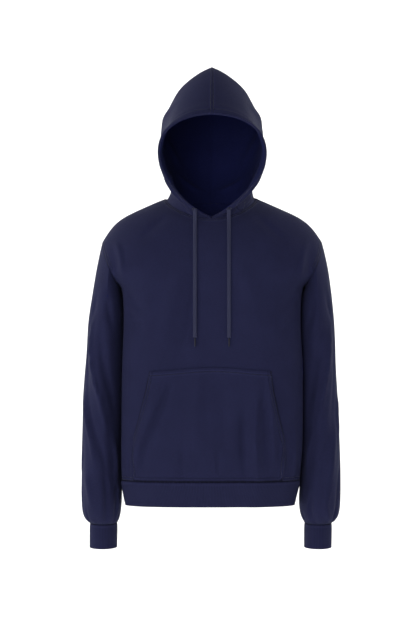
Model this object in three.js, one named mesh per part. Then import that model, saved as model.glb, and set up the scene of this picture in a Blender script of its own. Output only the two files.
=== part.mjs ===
// A pullover hoodie, filled out as when it is worn, with its hood up and nobody in it.
// Units are millimetres, +Z is up, the front faces -Y and the wearer's left is +X.
// The origin is the middle of the shoulder line, at the base of the neck.
// Every cloth piece is a thin wall: a grid of points for its outer side, and an inner side behind it.
import * as THREE from "three";

const { lerp, smoothstep } = THREE.MathUtils;
const vec = (x, y, z) => new THREE.Vector3(x, y, z);
const range = (count) => Array.from({ length: count }, (_, i) => i);
const shares = (count) => range(count + 1).map((i) => i / count);
const bell = (distance, width) => Math.exp(-((distance / width) ** 2));

const SIDES = { left: 1, right: -1 };
const COLOURS = { body: 0x1d1f38, rib: 0x1b1d34, cord: 0x2b2e49, tip: 0x14152a };

// Thicknesses of the cloth, and the gap that parts sewn pieces
const FLEECE = 2.2;
const RIB = 3.2;
const SEAM_GAP = 0.5;
const HALF_GAP = SEAM_GAP / 2;

// Heights of the front of the neck and the nape, half width of the neck, and the shoulder point
const FRONT_NECK_Z = -48;
const BACK_NECK_Z = -6;
const NECK_HALF = 101;
const SHOULDER_POINT_Z = -95;
const HEM_SIDE_DIP = 6;

// Levels of the rows of the trunk, with the row and the column where the pocket ends
const TRUNK_LEVELS = [-609, -572, -534, -492, -450, -408, -366, -322, -280, -238, -197];
const POCKET_TOP_ROW = 6;
const TRUNK_ROWS = TRUNK_LEVELS.length - 1;
const YOKE_ROWS = 10;
const HALF_COLUMNS = 16;
const POCKET_COLUMN = 9;

// Places along the neckline from the middle, close together where the hood hem ends
const FRONT_NECK_SHARES = [0, 0.085, 0.17, 0.205, 0.36, 0.52, 0.68, 0.84, 1];
const BACK_NECK_SHARES = shares(8);
const NECK_COLUMNS = FRONT_NECK_SHARES.length - 1;
const DENSE = 64;

// A smooth line through the rows of a table with named columns, without overshoot between them
class Table {
  constructor(names, rows) {
    this.keys = rows.map((row) => row[0]);
    this.columns = new Map(names.map((name, k) => [name, rows.map((row) => row[k])]));
    this.slopes = new Map(names.map((name) => [name, this.slopesOf(this.columns.get(name))]));
  }

  slopesOf(values) {
    const { keys } = this;
    const rises = keys.slice(1).map((key, i) => (values[i + 1] - values[i]) / (key - keys[i]));
    return keys.map((_, i) => {
      if (i === 0) return rises[0];
      if (i === rises.length) return rises[i - 1];
      const product = rises[i - 1] * rises[i];
      return product <= 0 ? 0 : (2 * product) / (rises[i - 1] + rises[i]);
    });
  }

  at(name, key) {
    const [keys, values, slopes] = [this.keys, this.columns.get(name), this.slopes.get(name)];
    let i = 0;
    while (i < keys.length - 2 && key > keys[i + 1]) i += 1;
    const step = keys[i + 1] - keys[i];
    const t = Math.min(1, Math.max(0, (key - keys[i]) / step));
    const s = 1 - t;
    return (
      s * s * (1 + 2 * t) * values[i] +
      t * s * s * step * slopes[i] +
      t * t * (3 - 2 * t) * values[i + 1] -
      t * t * s * step * slopes[i + 1]
    );
  }
}

// Half width of the trunk and shoulders at each height, how deep they are in front of the side seams
// and behind them, and how square the section is
const TORSO = new Table(
  ["z", "half", "front", "back", "square"],
  [
    [-625, 197, 119, 106, 3.1],
    [-600, 200, 123, 109, 3.3],
    [-540, 203, 127, 112, 3.5],
    [-450, 204, 129, 114, 3.6],
    [-345, 203, 130, 117, 3.5],
    [-260, 199, 130, 119, 3.2],
    [-197, 199, 130, 121, 3.2],
    [-185, 214, 129.5, 121, 3.2],
    [-168, 236, 128.5, 120, 3.1],
    [-150, 245, 126, 118.5, 3.0],
    [-130, 246, 122.5, 116, 2.8],
    [-112, 245, 118, 113, 2.7],
    [-95, 241, 112.5, 109, 2.55],
    [-77, 230, 104, 103, 2.45],
    [-59, 216, 93.5, 95, 2.35],
    [-44, 198, 82, 87, 2.3],
    [-33, 177, 72, 80, 2.2],
    [-20, 148, 57, 70, 2.15],
    [-8, 121, 38, 60, 2.1],
    [0, 101, 16, 52, 2.0],
  ],
);

// The sleeve as an upright tube: its outer and inner sides, its half depth and the middle of its depth
const SLEEVE = new Table(
  ["z", "outer", "inner", "depth", "middle"],
  [
    [-709, 264.5, 204.5, 35, -17],
    [-706, 270, 202, 43, -17],
    [-700, 276.5, 199, 53, -17],
    [-686, 282, 196, 63, -17],
    [-655, 284, 194, 69, -16],
    [-600, 284.5, 194.5, 72, -13],
    [-521, 282.5, 192.5, 75, -9],
    [-416, 280, 189.5, 79, -3],
    [-310, 273.5, 186, 83, 1],
    [-240, 267.5, 188, 86, 2],
    [-212, 264, 193.5, 87, 2],
    [-197, 262, 199.5, 87, 1],
    [-150, 254.5, 199.5, 88, 0],
    [-95, 241.5, 199.5, 88, 0],
  ],
);

// The garment stands a little to one side lower down and to the other at the arms and in the hood
const LEAN = new Table(
  ["z", "trunk", "arms"],
  [
    [-770, -2.5, -1],
    [-650, -2.4, 0],
    [-611, -0.8, -0.1],
    [-560, 2.2, -0.3],
    [-500, 4.6, -0.4],
    [-430, 5, -0.7],
    [-345, 4.8, -0.6],
    [-257, 4, 0.6],
    [-230, 3.4, 1.6],
    [-197, 2.6, 2.6],
    [-140, 3, 3],
    [-100, 2.5, 2.5],
    [-60, 1.6, 1.6],
    [-12, -0.6, -0.6],
    [15, 1.5, 1.5],
    [40, 3, 3],
    [80, 2.8, 2.8],
    [120, 2.1, 2.1],
    [300, 1.9, 1.9],
  ],
);

// The side edge of the pocket from the middle of the garment, on the wearer's left and right
const POCKET_EDGE = new Table(
  ["z", "left", "right"],
  [
    [-609, 151.5, 164.5],
    [-534, 155, 172],
    [-492, 144, 161.5],
    [-450, 134, 151],
    [-408, 126, 141.5],
    [-366, 121.5, 134.5],
    [-320, 126.5, 137.5],
    [-240, 147, 153],
    [-197, 156, 156],
  ],
);
const POCKET_TOP_DIP = 9;

// Large soft folds of the body in front view: ridges, or troughs where the height is negative
const BODY_FOLDS = [
  { face: "front", x0: -140, z0: -110, x1: -136, z1: -330, width: 26, height: 3.5 },
  { face: "front", x0: 132, z0: -115, x1: 118, z1: -300, width: 28, height: 3 },
  { face: "front", x0: -60, z0: -90, x1: -34, z1: -230, width: 26, height: -2 },
  { face: "front", x0: 96, z0: -390, x1: 100, z1: -640, width: 18, height: 5 },
  { face: "front", x0: 56, z0: -440, x1: 62, z1: -640, width: 22, height: -2.5 },
  { face: "front", x0: -104, z0: -330, x1: -158, z1: -560, width: 18, height: 4 },
  { face: "front", x0: 160, z0: -330, x1: 170, z1: -640, width: 15, height: 2.5 },
  { face: "back", x0: -96, z0: -150, x1: -70, z1: -420, width: 30, height: 4 },
  { face: "back", x0: 98, z0: -140, x1: 84, z1: -390, width: 28, height: 4 },
  { face: "back", x0: 8, z0: -320, x1: -12, z1: -640, width: 28, height: 3.5 },
  { face: "back", x0: -132, z0: -430, x1: -120, z1: -640, width: 22, height: -3 },
  { face: "back", x0: 116, z0: -400, x1: 134, z1: -640, width: 22, height: 3.5 },
];

// Folds of a sleeve: the turn is in degrees, 0 at its outer side, 90 at the front and 180 at its inner side
const SLEEVE_FOLDS = [
  { side: "right", turn0: 14, z0: -262, turn1: 108, z1: -470, width: 17, height: 5.5 },
  { side: "right", turn0: 0, z0: -300, turn1: 84, z1: -520, width: 20, height: -4.5 },
  { side: "right", turn0: 18, z0: -430, turn1: 74, z1: -610, width: 15, height: 4 },
  { side: "right", turn0: 118, z0: -560, turn1: 122, z1: -740, width: 13, height: -6 },
  { side: "right", turn0: 250, z0: -260, turn1: 305, z1: -420, width: 20, height: 4 },
  { side: "right", turn0: 290, z0: -430, turn1: 240, z1: -600, width: 18, height: 4 },
  { side: "left", turn0: 18, z0: -262, turn1: 84, z1: -490, width: 17, height: 5 },
  { side: "left", turn0: 0, z0: -330, turn1: 58, z1: -540, width: 20, height: -4 },
  { side: "left", turn0: 108, z0: -300, turn1: 122, z1: -430, width: 17, height: -3 },
  { side: "left", turn0: 40, z0: -560, turn1: 76, z1: -690, width: 18, height: 3 },
  { side: "left", turn0: 176, z0: -630, turn1: 180, z1: -716, width: 24, height: 4 },
  { side: "left", turn0: 255, z0: -300, turn1: 292, z1: -470, width: 20, height: 4 },
  { side: "left", turn0: 300, z0: -500, turn1: 250, z1: -640, width: 18, height: -3.5 },
];

// How high a fold stands at a place along it and across it
function foldHeight(fold, along, across) {
  const ends = smoothstep(along, -0.15, 0.22) * (1 - smoothstep(along, 0.72, 1.12));
  return fold.height * ends * bell(across, fold.width);
}

function foldsAt(folds, u0, u1, u, z) {
  return folds.reduce((sum, fold) => {
    const [du, dz] = [u1(fold) - u0(fold), fold.z1 - fold.z0];
    const [pu, pz] = [u - u0(fold), z - fold.z0];
    const long = Math.hypot(du, dz);
    return sum + foldHeight(fold, (pu * du + pz * dz) / long ** 2, (pu * dz - pz * du) / long);
  }, 0);
}

// Points at the given shares of the length of a polyline
function alongLine(points, places) {
  const lengths = [0];
  points.slice(1).forEach((p, i) => lengths.push(lengths[i] + p.distanceTo(points[i])));
  return places.map((place) => {
    const want = place * lengths[lengths.length - 1];
    let i = 0;
    while (i < points.length - 2 && lengths[i + 1] < want) i += 1;
    const t = (want - lengths[i]) / Math.max(1e-9, lengths[i + 1] - lengths[i]);
    return points[i].clone().lerp(points[i + 1], Math.min(1, Math.max(0, t)));
  });
}

// The side of the trunk is pressed in beside the sleeve, which hangs just clear of it
const ARM_CLEAR = 4;
const ARM_TOP_Z = -197;
const ARM_EASED_Z = -230;
const PRESS_ROUNDING = 8;

function pressedByArm(side, far, y, z) {
  const clear = lerp(ARM_CLEAR, SEAM_GAP, smoothstep(z, ARM_EASED_Z, ARM_TOP_Z));
  const apart = side * (LEAN.at("arms", z) - LEAN.at("trunk", z));
  const [outer, inner] = [SLEEVE.at("outer", z) + apart, SLEEVE.at("inner", z) + apart];
  const turn = (y - SLEEVE.at("middle", z)) / (SLEEVE.at("depth", z) + clear);
  if (Math.abs(turn) >= 1 || z > ARM_TOP_Z) return far;
  const limit = (outer + inner) / 2 - ((outer - inner) / 2 + clear) * Math.sqrt(1 - turn * turn);
  const near = Math.max(PRESS_ROUNDING - Math.abs(far - limit), 0);
  return Math.min(far, limit) - (near * near) / (4 * PRESS_ROUNDING);
}

// The crease in front of and behind the arm, where the body turns in above the underarm
const CREASE_FAR = 208;
const CREASE_WIDTH = 11;
const CREASE_FADE = 3;
const CREASE = new Table(
  ["z", "depth"],
  [
    [-196, 0],
    [-182, 5],
    [-165, 11],
    [-140, 8],
    [-115, 4],
    [-85, 0],
  ],
);

// A point of the outer side of the body, from its place in front view
function bodyPoint(face, x, z) {
  const far = Math.abs(x);
  const square = TORSO.at("square", z);
  const reach = Math.min(1, far / TORSO.at("half", z));
  const round = Math.max(0, 1 - reach ** square) ** (1 / square);
  const own = BODY_FOLDS.filter((fold) => fold.face === face);
  const folds = foldsAt(own, (fold) => fold.x0, (fold) => fold.x1, x, z);
  const flatness = Math.min(1, CREASE_FADE * round);
  const crease = CREASE.at("depth", z) * bell(far - CREASE_FAR, CREASE_WIDTH) * flatness;
  const depth = round * (TORSO.at(face, z) + folds) - crease;
  const y = face === "front" ? -depth : depth;
  const side = Math.sign(x);
  return vec(side * pressedByArm(side, far, y, z), y, z);
}

// Places of the columns in a level section, counted out from the middle; in front one follows the pocket
function sectionPlaces(face, side, z) {
  const [half, square] = [TORSO.at("half", z), TORSO.at("square", z)];
  const fars = shares(DENSE).map((t) => half * Math.sin((t * Math.PI) / 2) ** (2 / square));
  const points = fars.map((far) => bodyPoint(face, SIDES[side] * far, z));
  const lengths = [0];
  points.slice(1).forEach((p, i) => lengths.push(lengths[i] + p.distanceTo(points[i])));
  const total = lengths[DENSE];
  const edge = POCKET_EDGE.at(side, z);
  const past = fars.findIndex((far) => far > edge);
  const t = (edge - fars[past - 1]) / (fars[past] - fars[past - 1]);
  const natural = POCKET_COLUMN / HALF_COLUMNS;
  const at = face === "front" ? lerp(lengths[past - 1], lengths[past], t) / total : natural;
  return range(HALF_COLUMNS + 1).map((j) => {
    const outside = (j - POCKET_COLUMN) / (HALF_COLUMNS - POCKET_COLUMN);
    const place = j <= POCKET_COLUMN ? (at * j) / POCKET_COLUMN : at + (1 - at) * outside;
    const k = Math.max(1, lengths.findIndex((length) => length >= place * total - 1e-9));
    const part = (place * total - lengths[k - 1]) / (lengths[k] - lengths[k - 1]);
    return { reach: lerp(fars[k - 1], fars[k], part) / half, place };
  });
}

// The top edge of half a panel in front view: the neckline, then the shoulder seam
const NECK_ROUNDING = 1.6;

function topPlaces(face) {
  const drop = face === "front" ? FRONT_NECK_Z : BACK_NECK_Z;
  const neck = shares(DENSE).map((t) => {
    const turn = (t * Math.PI) / 2;
    return vec(NECK_HALF * Math.sin(turn), 0, drop * Math.cos(turn) ** NECK_ROUNDING);
  });
  const shoulder = shares(DENSE).map((t) => {
    const z = SHOULDER_POINT_Z * t;
    return vec(TORSO.at("half", z), 0, z);
  });
  const neckShares = face === "front" ? FRONT_NECK_SHARES : BACK_NECK_SHARES;
  const shoulderShares = shares(HALF_COLUMNS - NECK_COLUMNS).slice(1);
  const seam = alongLine(shoulder, shoulderShares).map((p) => p.setX(TORSO.at("half", p.z)));
  return [...alongLine(neck, neckShares), ...seam];
}

const ARMHOLE_BOW = 6;
const POCKET_ARCH_ROWS = 1.6;

// Half a body panel as rows of points from the hem up, and in each from the middle to the edge
function halfPanel(face, side) {
  const sign = SIDES[side];
  const trunk = TRUNK_LEVELS.map((level, i) => {
    const arch = POCKET_TOP_DIP * bell(i - POCKET_TOP_ROW, POCKET_ARCH_ROWS);
    const sag = HEM_SIDE_DIP * (1 - i / TRUNK_ROWS) ** 3;
    return sectionPlaces(face, side, level).map(({ reach, place }) => {
      const bends = face === "front" && i > 0 && i < TRUNK_ROWS;
      const bend = bends ? arch * Math.sin(Math.PI * place) ** 2 : 0;
      const z = level - bend - sag * place ** 4;
      return { far: reach * TORSO.at("half", z), z };
    });
  });
  const base = trunk[TRUNK_ROWS];
  const columns = topPlaces(face).map((top, j) => {
    const line = shares(DENSE).map((t) => {
      const w = 1 - (1 - t) ** 2;
      const bow = ARMHOLE_BOW * Math.sin(Math.PI * w) * (j / HALF_COLUMNS) ** 3;
      return bodyPoint(face, sign * (lerp(base[j].far, top.x, w) + bow), lerp(base[j].z, top.z, w));
    });
    return alongLine(line, shares(YOKE_ROWS));
  });
  const rows = trunk.map((row) => row.map(({ far, z }) => bodyPoint(face, sign * far, z)));
  return [...rows, ...range(YOKE_ROWS).map((i) => columns.map((column) => column[i + 1]))];
}

// A piece of cloth as a grid of points on its outer side, with the directions that point out of it
class Sheet {
  constructor(rows, core, closed = false) {
    this.rows = rows;
    this.closed = closed;
    this.width = rows[0].length;
    this.thickness = () => FLEECE;
    this.findNormals(core);
  }

  cells() {
    const across = this.closed ? this.width : this.width - 1;
    return range(this.rows.length - 1).flatMap((i) => range(across).map((j) => [i, j, (j + 1) % this.width]));
  }

  findNormals(core) {
    this.normals = this.rows.map((row) => row.map(() => vec(0, 0, 0)));
    for (const [i, j, k] of this.cells()) {
      const one = this.rows[i + 1][k].clone().sub(this.rows[i][j]);
      const two = this.rows[i + 1][j].clone().sub(this.rows[i][k]);
      const face = one.cross(two);
      [this.normals[i][j], this.normals[i][k], this.normals[i + 1][j], this.normals[i + 1][k]].forEach((n) =>
        n.add(face),
      );
    }
    let outward = 0;
    this.each((p, n) => (outward += n.normalize().dot(p.clone().sub(core(p)))));
    if (outward < 0) this.each((p, n) => n.negate());
  }

  each(visit) {
    this.rows.forEach((row, i) => row.forEach((p, j) => visit(p, this.normals[i][j], i, j)));
  }

  inner() {
    return this.rows.map((row, i) =>
      row.map((p, j) => p.clone().addScaledVector(this.normals[i][j], -this.thickness(i, j))),
    );
  }
}

// Two edges that are sewn together share the direction in which their cloth is thick
function joinNormals(...normals) {
  const mean = normals.reduce((sum, n) => sum.add(n), vec(0, 0, 0)).normalize();
  normals.forEach((n) => n.copy(mean));
}

const flatten = (normal, axis) => normal.setComponent("xyz".indexOf(axis), 0).normalize();
const middle = (a, b) => a.clone().lerp(b, 0.5);

function stepTo(from, to, distance) {
  return from.clone().addScaledVector(to.clone().sub(from).normalize(), distance);
}

// Body panels
function bodySheet(face) {
  const [left, right] = [halfPanel(face, "left"), halfPanel(face, "right")];
  const rows = left.map((row, i) => [...right[i].slice(1).reverse(), ...row]);
  const sheet = new Sheet(rows, (p) => vec(0, 0, p.z));
  const last = rows.length - 1;
  sheet.each((p, n, i, j) => {
    const column = Math.abs(j - HALF_COLUMNS);
    if (i === 0) flatten(n, "z");
    const sideSeam = column === HALF_COLUMNS && i <= TRUNK_ROWS;
    const shoulderSeam = i === last && column >= NECK_COLUMNS;
    if (sideSeam || shoulderSeam) flatten(n, "y");
    p.y += face === "front" ? -HALF_GAP : HALF_GAP;
  });
  return sheet;
}

const front = bodySheet("front");
const back = bodySheet("back");
const TOP_ROW = TRUNK_ROWS + YOKE_ROWS;
const columnOf = (side, column) => HALF_COLUMNS + SIDES[side] * column;

// Sleeves: the first row lies on the armhole, and the tube below it becomes an upright oval
const SLEEVE_LEVELS = [
  -150, -178, -208, -244, -286, -334, -384, -434, -484, -534, -580, -622, -656, -683, -698, -705, -709,
];
const SLEEVE_COLUMNS = 2 * YOKE_ROWS;
const BLEND_END = -345;

// How far one degree of turn reaches round a sleeve, and where the folds die out above the cuff
const SLEEVE_DEGREE = 1.35;
const FOLDS_FADE_Z = [685, 706];

function sleevePoint(side, turn, z) {
  const [outer, inner] = [SLEEVE.at("outer", z), SLEEVE.at("inner", z)];
  const degrees = THREE.MathUtils.radToDeg(turn);
  const folds = SLEEVE_FOLDS.filter((f) => f.side === side);
  const [from, to] = [(f) => SLEEVE_DEGREE * f.turn0, (f) => SLEEVE_DEGREE * f.turn1];
  const lift = foldsAt(folds, from, to, SLEEVE_DEGREE * degrees, z);
  const swell = lift * (1 - smoothstep(-z, ...FOLDS_FADE_Z));
  const x = (outer + inner) / 2 + ((outer - inner) / 2 + swell) * Math.cos(turn);
  return vec(x, SLEEVE.at("middle", z) - (SLEEVE.at("depth", z) + swell) * Math.sin(turn), z);
}

function sleeveCore(side) {
  return (p) => vec((SIDES[side] * (SLEEVE.at("outer", p.z) + SLEEVE.at("inner", p.z))) / 2, 0, p.z);
}

function sleeveSheet(side) {
  const column = columnOf(side, HALF_COLUMNS);
  const edge = range(SLEEVE_COLUMNS).map((k) => {
    const row = TRUNK_ROWS + Math.abs(YOKE_ROWS - k);
    if (k === 0 || k === YOKE_ROWS) return [front, back].map((sheet) => [sheet, row]);
    return [[k < YOKE_ROWS ? front : back, row]];
  });
  const armhole = edge.map((uses) => {
    const points = uses.map(([sheet, row]) => sheet.rows[row][column]);
    return points.length === 2 ? middle(points[0], points[1]) : points[0].clone();
  });
  const rows = SLEEVE_LEVELS.map((level, i) => {
    const fade = 1 - smoothstep(-level, -SLEEVE_LEVELS[0], -BLEND_END);
    return armhole.map((start, k) => {
      if (i === 0) return start;
      const turn = (2 * Math.PI * k) / SLEEVE_COLUMNS;
      const offset = start.clone().sub(sleevePoint(side, turn, start.z).multiply(vec(SIDES[side], 1, 1)));
      const p = sleevePoint(side, turn, level + (start.z - SLEEVE_LEVELS[0]) * fade);
      return p.multiply(vec(SIDES[side], 1, 1)).add(offset.setZ(0).multiplyScalar(fade));
    });
  });
  rows[0] = rows[0].map((p, k) => stepTo(p, rows[1][k], SEAM_GAP));
  const sheet = new Sheet(rows, sleeveCore(side), true);
  edge.forEach((uses, k) => {
    joinNormals(sheet.normals[0][k], ...uses.map(([body, row]) => body.normals[row][column]));
  });
  sheet.normals[sheet.normals.length - 1].forEach((n) => flatten(n, "z"));
  sheet.sway = "arms";
  return sheet;
}

// Ribbed bands carry on from the edge of a sheet: how far down each row is, and how far out
function ribSheet(edge, core, profile) {
  const lowered = (p, down) => p.clone().add(vec(0, 0, -down));
  const ring = new Sheet([edge, edge.map((p) => lowered(p, RIB))], core, true);
  const out = ring.normals[0].map((n) => flatten(n, "z"));
  const rows = profile.map(([down, swell]) => {
    return edge.map((p, k) => lowered(p, down).addScaledVector(out[k], swell));
  });
  const sheet = new Sheet(rows, core, true);
  sheet.each((p, n, i, j) => n.copy(out[j]));
  sheet.thickness = (i) => (i === 0 ? FLEECE : RIB);
  return sheet;
}

const HEM_PROFILE = [
  [SEAM_GAP, 0],
  [6, 2],
  [20, -1.5],
  [38, -5.5],
  [55, -9.5],
];
const CUFF_PROFILE = [
  [SEAM_GAP, 0],
  [8, 1.2],
  [30, 0.8],
  [53.5, 0.6],
];

function hemSheet() {
  const [ahead, behind] = [front.rows[0], back.rows[0]];
  const last = ahead.length - 1;
  const edge = [
    middle(ahead[0], behind[0]),
    ...ahead.slice(1, last).map((p) => p.clone()),
    middle(ahead[last], behind[last]),
    ...behind.slice(1, last).reverse().map((p) => p.clone()),
  ];
  return ribSheet(edge, (p) => vec(0, 0, p.z), HEM_PROFILE);
}

function cuffSheet(sleeve, side) {
  const edge = sleeve.rows[sleeve.rows.length - 1].map((p) => p.clone());
  const centre = edge.reduce((sum, p) => sum.addScaledVector(p, 1 / edge.length), vec(0, 0, 0));
  const sheet = ribSheet(edge, (p) => centre.clone().setZ(p.z), CUFF_PROFILE);
  sheet.sway = "arms";
  return sheet;
}

// The hood edge round the face, from the top down to the front of the neck
const HOOD_RIM = [
  vec(0, -116, 173),
  vec(34, -117, 170),
  vec(60, -117, 163),
  vec(90, -115, 147),
  vec(106, -112, 131),
  vec(114, -110, 111),
  vec(116.5, -108, 91),
  vec(113, -105, 64),
  vec(101, -101, 37.5),
  vec(82.5, -98, 13),
  vec(59, -95, -8.5),
  vec(34.5, -93, -28),
  vec(16, -88, -40),
  vec(0, -82, -48),
];

// The section through the crown, from the top seam down to the side of the neck
const HOOD_CROWN = [
  vec(0, 20, 295.5),
  vec(16, 20, 289.5),
  vec(32, 20, 280),
  vec(51.5, 19, 266),
  vec(67.5, 19, 252),
  vec(77.5, 18, 239),
  vec(84.5, 17, 226),
  vec(92, 17, 212),
  vec(99, 16, 198),
  vec(110, 15, 172),
  vec(115, 13, 148),
  vec(113.5, 11, 118),
  vec(108, 8, 84),
  vec(98, 5, 50),
  vec(90, 3, 26),
  vec(92.5, 1, 11),
  vec(101, 0, 0),
];

// The seam down the back of the hood to the nape
const HOOD_BACK = [
  vec(0, 126, 236),
  vec(0, 140, 205),
  vec(0, 148, 170),
  vec(0, 148, 135),
  vec(0, 140, 98),
  vec(0, 126, 65),
  vec(0, 106, 37),
  vec(0, 82, 14),
  vec(0, 58, -6),
];

const HOOD_ROWS = 16;
const HOOD_MIDDLE = vec(0, 15, 130);

// By column from the rim: how far the hem of the hood stands proud, how thick it is, and how far
// the cloth behind it falls back at the sides of the neck
const RIM_LIFT = [0.6, 2.4, 1.4];
const RIM_THICKNESS = [5, 6.5, 5.6];
const END_THICKNESS = [5.6, 4];
const COLLAR_HOLLOW = [0, 1.5, -6, -7.5, -7, -4, -1.5];
const COLLAR_PLACE = 0.8;
const COLLAR_SPREAD = 0.14;

// How the crown's outline is rounded, in front of its highest point and behind it
const FOREHEAD_ROUNDING = 1.3;
const FOREHEAD_END = 0.5;
const BACK_ROUNDING_END = 0.3;
const NECK_PULL = 3;

function smoothLine(points) {
  return new THREE.CatmullRomCurve3(points, false, "centripetal").getPoints(DENSE * 2);
}

function hoodSheet(side) {
  const sign = SIDES[side];
  const places = shares(HOOD_ROWS);
  const lines = [HOOD_RIM, HOOD_CROWN, HOOD_BACK];
  const [rim, crown, seam] = lines.map((line) => alongLine(smoothLine(line), places));
  const column = (k) => columnOf(side, k);
  const ahead = range(NECK_COLUMNS + 1).map((k) => front.rows[TOP_ROW][column(k)]);
  const behind = range(NECK_COLUMNS + 1).map((k) => back.rows[TOP_ROW][column(k)]);
  const corner = middle(ahead[NECK_COLUMNS], behind[NECK_COLUMNS]);
  const neck = [...ahead.slice(0, -1), corner, ...behind.slice(0, -1).reverse()].map((p) => p.clone());
  const rows = places.map((v, i) => {
    const [r, m, k] = [rim[i], crown[i], seam[i]];
    const forward = shares(DENSE).map((t) => {
      const turn = (t * Math.PI) / 2;
      const run = 1 - Math.cos(turn);
      const rise = lerp(1 - (1 - run) ** FOREHEAD_ROUNDING, run, smoothstep(v, 0, FOREHEAD_END));
      return vec(lerp(r.x, m.x, Math.sin(turn)), lerp(r.y, m.y, run), lerp(r.z, m.z, rise));
    });
    const backward = shares(DENSE).map((t) => {
      const turn = (t * Math.PI) / 2;
      const fall = lerp(1 - Math.cos(turn), Math.sin(turn) ** 2, smoothstep(v, 0, BACK_ROUNDING_END));
      return vec(m.x * Math.cos(turn), lerp(m.y, k.y, Math.sin(turn)), lerp(m.z, k.z, fall));
    });
    return [...alongLine(forward, FRONT_NECK_SHARES), ...alongLine(backward, BACK_NECK_SHARES).slice(1)];
  });
  const base = rows[HOOD_ROWS].map((p, k) => neck[k].clone().multiply(vec(sign, 1, 1)).sub(p));
  rows.forEach((row, i) => row.forEach((p, k) => p.addScaledVector(base[k], places[i] ** NECK_PULL)));
  rows[HOOD_ROWS] = rows[HOOD_ROWS].map((p, k) => stepTo(p, rows[HOOD_ROWS - 1][k], SEAM_GAP));
  rows.forEach((row) => row.forEach((p) => p.setX(sign * p.x)));

  const sheet = new Sheet(rows, (p) => HOOD_MIDDLE.clone().setZ(Math.min(p.z, HOOD_MIDDLE.z)));
  const across = sheet.width - 1;
  sheet.each((p, n, i, j) => {
    if (i === 0 || j === across) flatten(n, "x");
    const fade = 1 - smoothstep(places[i], 0.9, 1);
    const hollow = (COLLAR_HOLLOW[j] ?? 0) * bell(places[i] - COLLAR_PLACE, COLLAR_SPREAD);
    if (i < HOOD_ROWS) p.addScaledVector(n, ((RIM_LIFT[j] ?? 0) + hollow) * fade);
  });
  neck.forEach((_, k) => {
    const uses = k < NECK_COLUMNS ? [front] : k > NECK_COLUMNS ? [back] : [front, back];
    const own = column(Math.min(k, 2 * NECK_COLUMNS - k));
    if (k === 0 || k === across) return;
    joinNormals(sheet.normals[HOOD_ROWS][k], ...uses.map((body) => body.normals[TOP_ROW][own]));
  });
  flatten(sheet.normals[HOOD_ROWS][0], "x");
  sheet.thickness = (i, j) => (i === HOOD_ROWS ? END_THICKNESS : RIM_THICKNESS)[j] ?? FLEECE;
  sheet.keep = (p) => p.setX(sign * Math.max(HALF_GAP, sign * p.x));
  return sheet;
}

// The pocket lies on the front, a little clear of it, and its mouths stand open, row by row
const POCKET_CLEAR = 0.4;
const POCKET_FOOT_RISE = 1.2;
const MOUTH_GAPE = [0, 0, 0, 1.6, 2.6, 2.2, 0.6];
const GAPE_BY_COLUMN = [1, 0.55];

function pocketSheet() {
  const columns = range(2 * POCKET_COLUMN + 1).map((k) => HALF_COLUMNS - POCKET_COLUMN + k);
  const rows = range(POCKET_TOP_ROW + 1).map((i) =>
    columns.map((j, k) => {
      const fromEdge = Math.min(k, 2 * POCKET_COLUMN - k);
      const lift = POCKET_CLEAR + FLEECE + MOUTH_GAPE[i] * (GAPE_BY_COLUMN[fromEdge] ?? 0);
      const p = front.rows[i][j].clone().addScaledVector(front.normals[i][j], lift);
      return i === 0 ? p.add(vec(0, 0, POCKET_FOOT_RISE)) : p;
    }),
  );
  const sheet = new Sheet(rows, (p) => vec(0, 0, p.z));
  sheet.each((p, n, i, j) => n.copy(front.normals[i][columns[j]]));
  return sheet;
}

// A closed mesh from a sheet: its outer side, its inner side and the edges between them
function clothMesh(name, sheet, colour) {
  const keep = sheet.keep ?? ((p) => p);
  const placed = (p) => leaned(keep(p.clone()), sheet.sway);
  const layers = [sheet.rows, sheet.inner()].map((rows) => rows.flat().map(placed));
  const count = layers[0].length;
  const at = (layer, i, j) => layer * count + i * sheet.width + j;
  const faces = [];
  const quad = (a, b, c, d) => faces.push(a, b, c, a, c, d);
  for (const [i, j, k] of sheet.cells()) {
    const corners = [[i, j], [i, k], [i + 1, k], [i + 1, j]];
    const [p, q, r, s] = corners.map(([row, column]) => sheet.rows[row][column]);
    if (p.distanceTo(r) > q.distanceTo(s)) corners.push(corners.shift());
    quad(...corners.map(([row, column]) => at(0, row, column)));
    const [a, b, c, d] = corners.map(([row, column]) => at(1, row, column));
    quad(a, d, c, b);
  }
  const last = sheet.rows.length - 1;
  for (const j of range(sheet.closed ? sheet.width : sheet.width - 1)) {
    const k = (j + 1) % sheet.width;
    quad(at(0, 0, k), at(0, 0, j), at(1, 0, j), at(1, 0, k));
    quad(at(0, last, j), at(0, last, k), at(1, last, k), at(1, last, j));
  }
  if (!sheet.closed) {
    const end = sheet.width - 1;
    for (const i of range(last)) {
      quad(at(0, i, 0), at(0, i + 1, 0), at(1, i + 1, 0), at(1, i, 0));
      quad(at(0, i + 1, end), at(0, i, end), at(1, i, end), at(1, i + 1, end));
    }
  }
  return closedMesh(name, layers.flat(), faces, colour);
}

function leaned(p, sway = "trunk") {
  return p.clone().add(vec(LEAN.at(sway, p.z), 0, 0));
}

function closedMesh(name, points, faces, colour) {
  const volume = range(faces.length / 3).reduce((sum, f) => {
    const [a, b, c] = [0, 1, 2].map((k) => points[faces[3 * f + k]]);
    return sum + a.dot(b.clone().cross(c));
  }, 0);
  const geometry = new THREE.BufferGeometry().setFromPoints(points);
  geometry.setIndex(volume > 0 ? faces : faces.slice().reverse());
  geometry.computeVertexNormals();
  return solidMesh(name, geometry, colour);
}

function solidMesh(name, geometry, colour) {
  const mesh = new THREE.Mesh(geometry, new THREE.MeshStandardMaterial({ color: colour, roughness: 0.9 }));
  mesh.name = name;
  return mesh;
}

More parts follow.
